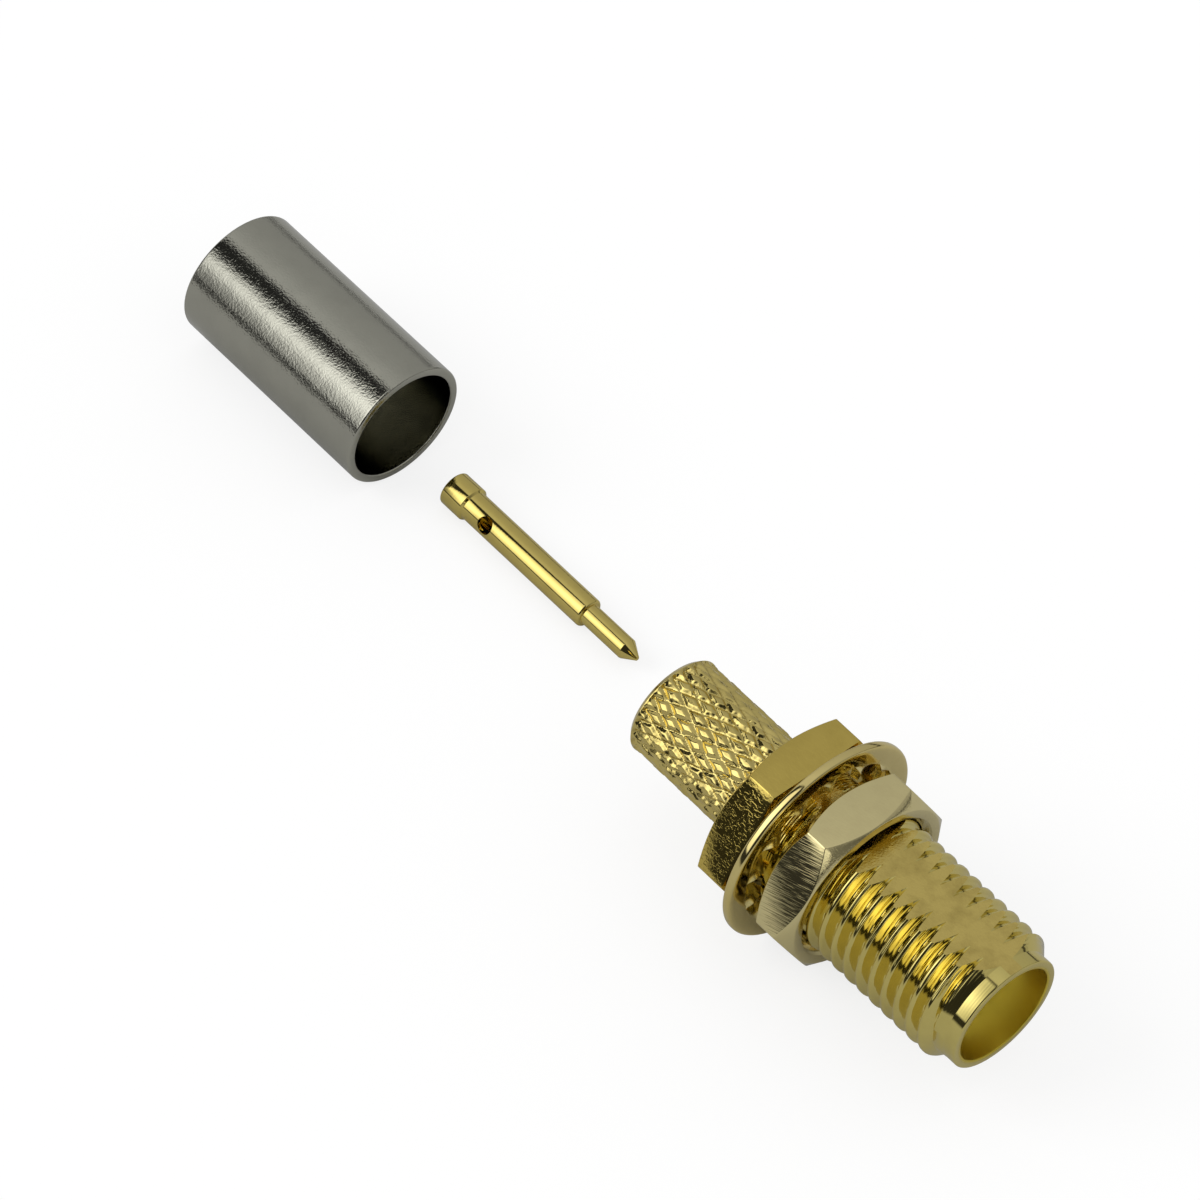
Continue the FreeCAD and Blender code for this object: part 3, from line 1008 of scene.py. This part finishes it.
@dataclass
class Shell:
    """The jack's body: knurled crimp stem, hexagon flange, threaded barrel and open mouth."""

    stem_start: float = -8.08
    stem_radius: float = 2.325
    stem_bore: float = 1.55
    stem_bevel: float = 0.2
    stem_round: float = 0.05
    stem_overlap: float = 0.3
    knurl_start: float = -7.83
    knurl_end: float = -1.95
    knurl_margin: float = 0.02
    knurl_rows: int = 126
    knurl_around: int = 24
    knurl_along: float = 0.711
    knurl_depth: float = 0.13
    knurl_dents: float = 0.05
    knurl_width: float = 0.60
    knurl_phases: Spot = (-0.18, -0.474)
    knurl_wander: float = 0.45
    flange_rear: float = -1.75
    flange_across: float = 7.94
    flange_face: float = 3.95
    flange_chamfer: float = 30
    flange_turn: float = 4.3
    insulator_bore: float = 2.05
    insulator_seat: float = -0.5
    thread_radius: float = 3.175
    thread_depth: float = 0.465
    thread_crest: float = 0.15
    thread_rows: int = 310
    groove_place: float = 5.037
    barrel_overlap: float = 0.2
    relief_radius: float = 2.74
    relief_end: float = 0.75
    relief_slope: tuple[float, float, float] = (0.16, 0.04, 0.04)
    thread_end: float = 10.2
    lip_start: float = 10.68
    lip_radius: float = 2.70
    lip_rounds: tuple[float, float, float] = (0.04, 0.07, 0.05)
    front: float = 11.3
    mouth_radius: float = 2.30
    mouth_floor: float = 9.4
    flat_height: float = 2.68

    def build(self) -> None:
        """Makes the three parts of the body."""
        self.stem()
        self.flange()
        self.barrel()

    def stem(self) -> None:
        """Makes the knurled stem."""
        rear, radius = self.stem_start, self.stem_radius
        inner = self.flange_rear + self.stem_overlap
        outline = rounded([
            (rear, self.stem_bore, self.stem_round),
            (rear, radius - self.stem_bevel, self.stem_round),
            (rear + self.stem_bevel, radius, self.stem_round),
        ], closed=False)
        first = self.knurl_start - self.knurl_margin
        length = self.knurl_end - self.knurl_start + 2 * self.knurl_margin
        outline += [(first + length * row / self.knurl_rows, radius) for row in range(self.knurl_rows + 1)]
        outline += [(inner, radius), (inner, self.stem_bore)]
        piece = turned("crimp_stem", outline, segments=self.knurl_around * 16)
        KnurlRecipe().apply(piece, KNURLED_GOLD.material(), Stem_Radius=radius * MM, Depth=self.knurl_depth * MM,
                            Grooves_Round=float(self.knurl_around), Grooves_A_Metre=self.knurl_along / MM,
                            Groove_Width=self.knurl_width, Roughness=self.knurl_dents * MM,
                            Start=self.knurl_start * MM, End=self.knurl_end * MM,
                            Phase_Round=self.knurl_phases[0], Phase_Along=self.knurl_phases[1],
                            Wander=self.knurl_wander)
        smooth(piece, 40, weigh=False)
        seat(piece, "connector", "body_shell")

    def flange(self) -> None:
        """Makes the hexagon flange."""
        hexagon = Hexagon(self.flange_across, self.flange_rear, 0, self.flange_face, self.flange_chamfer, False,
                          self.flange_turn)
        piece = hexagon.build("flange", [(0, self.insulator_bore), (self.insulator_seat, self.insulator_bore),
                                         (self.insulator_seat, self.stem_bore), (self.flange_rear, self.stem_bore)])
        piece.data.materials.append(FLANGE_GOLD.material())
        smooth(piece)
        seat(piece, "connector", "body_shell")

    def barrel(self) -> None:
        """Makes the threaded barrel with its flat, lip and mouth."""
        rows = self.thread_rows
        first, last = self.relief_end, self.thread_end
        foot, top, rise = self.relief_slope
        outline = [(-self.barrel_overlap, self.insulator_bore), (-self.barrel_overlap, self.relief_radius),
                   (first - foot, self.relief_radius), (first - top, self.relief_radius + rise)]
        outline += [(first + (last - first) * row / rows, self.thread_radius) for row in range(rows + 1)]
        outline += rounded([
            (last, self.thread_radius, 0),
            (self.lip_start, self.lip_radius, self.lip_rounds[0]),
            (self.front, self.lip_radius, self.lip_rounds[1]),
            (self.front, self.mouth_radius, self.lip_rounds[2]),
            (self.mouth_floor, self.mouth_radius, 0),
        ], closed=False)[1:]
        outline += [(self.mouth_floor, self.insulator_bore)]
        piece = turned("threaded_barrel", outline, segments=240)
        ThreadRecipe().apply(piece, THREADED_GOLD.material(), Crest_Radius=self.thread_radius * MM,
                             Pitch=THREAD_PITCH * MM, Depth=self.thread_depth * MM,
                             Crest_Width=self.thread_crest * MM, Groove_Place=self.groove_place * MM,
                             Flat_Height=self.flat_height * MM)
        piece.data.materials.append(FLAT_GOLD.material())
        for face in piece.data.polygons:
            if face.normal.z > 0.9999 and face.center.z > (self.flat_height - 0.001) * MM:
                face.material_index = 1
        smooth(piece, 60, weigh=False, sharp=self.on_flat_edge)
        seat(piece, "connector", "body_shell")

    def on_flat_edge(self, edge: bmesh.types.BMEdge) -> bool:
        """Tells the edges where the milled flat ends."""
        return sum(face.normal.z > 0.99995 for face in edge.link_faces) == 1 and edge.verts[0].co.z > 2.6 * MM


@dataclass
class LockWasher:
    """The pressed washer with twisted teeth inside."""

    rear: float = 0.32
    thickness: float = 0.40
    radius: float = 4.83
    rim_inside: float = 3.95
    tooth_end: float = 3.30
    root_width: float = 1.15
    end_width: float = 0.76
    tooth_thickness: float = 0.34
    twist: float = 32
    twist_length: float = 0.36
    count: int = 14
    turn: float = 25
    edge_round: float = 0.13
    tooth_round: float = 0.06
    across: int = 12

    def gap(self) -> float:
        """Gives half the gap between two teeth, where they meet the rim."""
        return self.rim_inside * math.tan(math.pi / self.count) - self.root_width / 2

    def half_width(self, radius: float) -> float:
        """Works out half the width of a sector at a distance from the axis.

        Args:
            radius: The distance from the axis.

        Returns:
            The half width in millimetres.
        """
        if radius >= self.rim_inside:
            return radius * math.tan(math.pi / self.count)
        slope = (self.rim_inside - radius) / (self.rim_inside - self.tooth_end)
        tooth = (self.root_width + (self.end_width - self.root_width) * slope) / 2
        down = min(1.0, (self.rim_inside - radius) / self.gap())
        return tooth + self.gap() * (1 - math.sqrt(1 - (1 - down) ** 2))

    def radii(self) -> list[float]:
        """Gives the rows of a sector, from the rim's rounded edge to the tooth's end.

        Returns:
            The rows' distances from the axis.
        """
        rim = [self.radius - self.edge_round * (1 - math.cos(math.radians(a))) for a in (0, 25, 45, 65, 90)]
        rim += [self.radius - 0.3, self.rim_inside + 0.25]
        root = self.rim_inside - self.gap()
        curve = [self.rim_inside - self.gap() * (1 - math.cos(math.radians(a))) for a in range(0, 91, 9)]
        return rim + curve + [root - (root - self.tooth_end) * row / 4 for row in range(1, 5)]

    def row(self, radius: float, side: int) -> list[Corner]:
        """Works out one row of points across a sector that points to +Z.

        Args:
            radius: The row's distance from the axis.
            side: -1 for the rear side and 1 for the front side.

        Returns:
            The points.
        """
        half = self.half_width(radius)
        bend = max(0.0, min(1.0, (self.rim_inside - radius) / self.twist_length))
        bend = bend * bend * (3 - 2 * bend)
        angle = math.radians(self.twist) * bend
        thick = (self.thickness + (self.tooth_thickness - self.thickness) * bend) / 2
        over = max(0.0, radius - self.radius + self.edge_round)
        thick -= self.edge_round - math.sqrt(self.edge_round ** 2 - over ** 2)
        points = []
        for step in range(self.across + 1):
            y = half * (2 * step / self.across - 1)
            x = side * thick
            out = radius
            if radius >= self.rim_inside - 0.02:
                out = radius * math.cos(math.atan(y / radius))
                y = y * math.cos(math.atan(y / radius))
            points.append((self.rear + self.thickness / 2 + x * math.cos(angle) - y * math.sin(angle),
                           x * math.sin(angle) + y * math.cos(angle), out))
        return points

    def sector(self) -> Piece:
        """Makes one sector, which points to +Z.

        Returns:
            The bare piece.
        """
        radii = self.radii()
        points = [point for side in (-1, 1) for radius in radii for point in self.row(radius, side)]
        rows, row = len(radii), self.across + 1
        top = rows * row
        faces = []
        for r in range(rows - 1):
            for s in range(self.across):
                a = r * row + s
                faces.append((a, a + 1, a + 1 + row, a + row))
                faces.append((top + a, top + a + row, top + a + 1 + row, top + a + 1))
            if radii[r + 1] < self.rim_inside:
                for s in (0, self.across):
                    a = r * row + s
                    faces.append((a, a + row, top + a + row, top + a))
        for r in (0, rows - 1):
            for s in range(self.across):
                a = r * row + s
                faces.append((a, a + 1, top + a + 1, top + a))
        return skin("lock_washer_look", points, faces)

    def build(self) -> None:
        """Makes the washer."""
        piece = self.sector()
        TeethRecipe().apply(piece, PRESSED_GOLD.material(), Count=self.count, Turn=math.radians(self.turn))
        face_outwards(piece.data)
        break_edges(piece, self.tooth_round, 3, 50, clamp=True)
        smooth(piece)
        seat(piece, "washer", "lock_washer")


@dataclass
class HexNut:
    """The thin hexagon nut on the thread."""

    across: float = 7.9
    rear: float = 1.465
    thickness: float = 2.04
    face_radius: float = 3.88
    chamfer: float = 38
    turn: float = 5.3
    bore: float = 3.225
    sink: float = 0.26

    def build(self) -> None:
        """Makes the nut."""
        front = self.rear + self.thickness
        hexagon = Hexagon(self.across, self.rear, front, self.face_radius, self.chamfer, True, self.turn)
        piece = hexagon.build("hex_nut_look", [
            (front, self.bore + self.sink), (front - self.sink, self.bore),
            (self.rear + self.sink, self.bore), (self.rear, self.bore + self.sink)])
        piece.data.materials.append(PALE_GOLD.material())
        smooth(piece)
        seat(piece, "nut", "hex_nut")


@dataclass
class Floor:
    """The pale floor, whose mirror image in metal turns from one grey to another between two places along Y."""

    height: float = -4.83
    reach: float = 1200
    paleness: float = 0.97
    white: float = 0.78
    far: Spot = (-44, -28)
    far_greys: Spot = (0.03, 0.42)

    def build(self) -> None:
        """Makes the floor."""
        corners = [(x * self.reach, y * self.reach, self.height) for x, y in ((-1, -1), (1, -1), (1, 1), (-1, 1))]
        floor = skin("floor", corners, [(0, 1, 2, 3)], closed=False)
        wiring = Paint("floor")
        aside = wiring.split(wiring.place)[1]
        grey = wiring.fade(aside, *(place * MM for place in self.far), *self.far_greys)
        lit = wiring.node("ShaderNodeBsdfDiffuse", {"Color": (*(self.paleness,) * 3, 1)})
        white = wiring.node("ShaderNodeEmission", {"Color": (1, 1, 1, 1), "Strength": 1.0})
        path = wiring.node("ShaderNodeLightPath")
        share = wiring.times(path.outputs["Is Camera Ray"], self.white)
        seen = wiring.node("ShaderNodeMixShader", {0: share, 1: lit.outputs[0], 2: white.outputs[0]})
        mirrored = wiring.node("ShaderNodeBsdfDiffuse", {"Color": grey})
        mix = wiring.node("ShaderNodeMixShader", {0: path.outputs["Is Glossy Ray"], 1: seen.outputs[0],
                                                  2: mirrored.outputs[0]})
        floor.data.materials.append(wiring.show(mix.outputs[0]))


@dataclass
class Card:
    """The half tube of card over the object, which only metal shows, with a long lamp on its -Y side.

    Angles round X are in degrees. A pair tells where along X, or at which angle, a change begins and is over, or the
    levels before and after it. The wall's brightness and the lamp's upper edge are given point by point.
    """

    radius: float = 100
    reach: float = 400
    arc: float = 187.2
    steps: int = 64
    wall: tuple[Spot, ...] = (
        (-90, 0.03), (-9, 0.03), (-7, 0.58), (5, 0.56), (25, 0.46), (45, 0.42), (75, 0.385), (82, 0.37),
        (83.5, 0.06), (87, 0.06), (88, 0.38), (90, 0.38),
    )
    dusk: Spot = (50, 260)
    dusk_level: float = 0.3
    lamp_top: tuple[Spot, ...] = ((-90, -38), (-68, -22), (-42, -13), (-26, -10))
    lamp_edge: Spot = (-1.5, 4.0)
    lamp_foot: Spot = (-89, -85)
    lamp_middle: float = -53
    widening: Spot = (-98, -70)
    lamp_levels: Spot = (0.22, 1.0)
    line_widths: Spot = (12, 20)
    lamp_rear: Spot = (-200, -125)
    lamp_front: Spot = (12, -20)
    second: Spot = (120, 190)
    second_level: float = 0.5

    def build(self) -> None:
        """Makes the card."""
        points = []
        for step in range(self.steps + 1):
            angle = math.radians(self.arc) * (step / self.steps - 0.5)
            points += [(x, self.radius * math.sin(angle), self.radius * math.cos(angle))
                       for x in (-self.reach, self.reach)]
        faces = [(2 * k, 2 * k + 1, 2 * k + 3, 2 * k + 2) for k in range(self.steps)]
        card = skin("card", points, faces, closed=False)
        for ray in ("camera", "diffuse", "shadow", "transmission", "volume_scatter"):
            setattr(card, f"visible_{ray}", False)
        wiring = Paint("card")
        along, aside, up = wiring.split(wiring.place)
        along = wiring.times(along, 1 / MM)
        angle = wiring.math("DEGREES", wiring.math("ARCTAN2", aside, up))
        plain = wiring.ramp(wiring.math("MULTIPLY_ADD", angle, 1 / 180, 0.5),
                            ((place / 180 + 0.5, bright) for place, bright in self.wall))
        wall = wiring.times(plain, wiring.fade(along, *self.dusk, high=self.dusk_level, low=1.0))
        level = wiring.math("MAXIMUM", wall, self.lamp(wiring, along, angle))
        glow = wiring.node("ShaderNodeEmission", {"Color": level})
        card.data.materials.append(wiring.show(glow.outputs[0]))

    def lamp(self, wiring: Wiring, along: Socket, angle: Socket) -> Socket:
        """Writes the lamp's light.

        Args:
            wiring: The card's material.
            along: The place along X in millimetres.
            angle: The angle round X in degrees.

        Returns:
            The brightness's socket.
        """
        top = wiring.node("ShaderNodeFloatCurve", {"Value": wiring.math("MULTIPLY_ADD", along, 0.01, 1.0)})
        shape = top.mapping.curves[0].points
        for place, height in self.lamp_top:
            shape.new(place / 100 + 1, height / 90 + 1).handle_type = "VECTOR"
        shape[0].location = (0, self.lamp_top[0][1] / 90 + 1)
        shape[-1].location = (1, self.lamp_top[-1][1] / 90 + 1)
        top.mapping.update()
        edge = wiring.math("MULTIPLY_ADD", top.outputs[0], 90.0, -90.0)
        below = wiring.fade(wiring.math("SUBTRACT", edge, angle), *self.lamp_edge)
        above = wiring.fade(angle, *self.lamp_foot)
        off = wiring.math("DIVIDE", wiring.math("SUBTRACT", angle, self.lamp_middle),
                          wiring.fade(along, *self.widening, *self.line_widths))
        line = wiring.math("EXPONENT", wiring.times(off, off, -1.0))
        bright = wiring.math("ADD", line, wiring.fade(along, *self.widening, *self.lamp_levels))
        first = wiring.times(wiring.fade(along, *self.lamp_rear), wiring.fade(along, *self.lamp_front))
        second = wiring.fade(along, *self.second, high=self.second_level)
        return wiring.times(below, above, bright, wiring.math("MAXIMUM", first, second))


@dataclass
class Room:
    """The light that the camera, metal and all else get from the room, and the lamp for the floor's shadow."""

    seen: float = 1.0
    mirrored: float = 0.16
    plain: float = 0.84
    lamp_energy: float = 1.1
    lamp_spread: float = 35
    lamp_from: Corner = (-0.497, -0.709, 0.65)

    def build(self) -> None:
        """Makes the world and the lamp."""
        world = bpy.data.worlds.new("room")
        bpy.context.scene.world = world
        world.use_nodes = True
        world.cycles.sampling_method = "NONE"
        wiring = Wiring(world.node_tree)
        world.node_tree.nodes.remove(world.node_tree.nodes["Background"])
        seen, mirrored, plain = (
            wiring.node("ShaderNodeBackground", {"Color": (level, level, level, 1), "Strength": 1.0}).outputs[0]
            for level in (self.seen, self.mirrored, self.plain))
        path = wiring.node("ShaderNodeLightPath")
        first = wiring.node("ShaderNodeMixShader", {0: path.outputs["Is Glossy Ray"], 1: plain, 2: mirrored})
        last = wiring.node("ShaderNodeMixShader", {0: path.outputs["Is Camera Ray"], 1: first.outputs[0], 2: seen})
        wiring.feed(world.node_tree.nodes["World Output"].inputs["Surface"], last.outputs[0])
        light = bpy.data.lights.new("soft_lamp", "SUN")
        light.energy = self.lamp_energy
        light.angle = math.radians(self.lamp_spread)
        lamp = linked("soft_lamp", light)
        lamp.rotation_euler = Vector(self.lamp_from).normalized().to_track_quat("Z", "Y").to_euler()
        lamp.visible_glossy = False


@dataclass
class Viewpoint:
    """The camera, which stands where the picture was taken from, turned by its own three axes."""

    lens: float = 180
    sensor: float = 36
    place: Corner = (91.252, -125.162, 179.25)
    right: Corner = (0.66030913, 0.73889168, 0.13427938)
    up: Corner = (-0.61425526, 0.42850883, 0.66262407)
    back: Corner = (0.43206751, -0.52001853, 0.73681639)

    def build(self) -> None:
        """Makes the camera."""
        data = bpy.data.cameras.new("camera")
        data.lens = self.lens
        data.sensor_width = self.sensor
        data.clip_start = 0.01
        data.clip_end = 10
        camera = linked("camera", data)
        turn = Matrix((self.right, self.up, self.back)).transposed().to_4x4()
        camera.matrix_world = Matrix.Translation(Vector(self.place) * MM) @ turn
        bpy.context.scene.camera = camera
        bpy.context.scene.view_settings.view_transform = "Standard"


def main() -> None:
    """Builds the jack, its loose parts and the studio."""
    logging.basicConfig(level=logging.INFO, format="%(message)s")
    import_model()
    for part in (CrimpSleeve(), CentreContact(), Insulator(), Shell(), LockWasher(), HexNut()):
        part.build()
    for surroundings in (Floor(), Card(), Room(), Viewpoint()):
        surroundings.build()


if __name__ == "__main__":
    main()
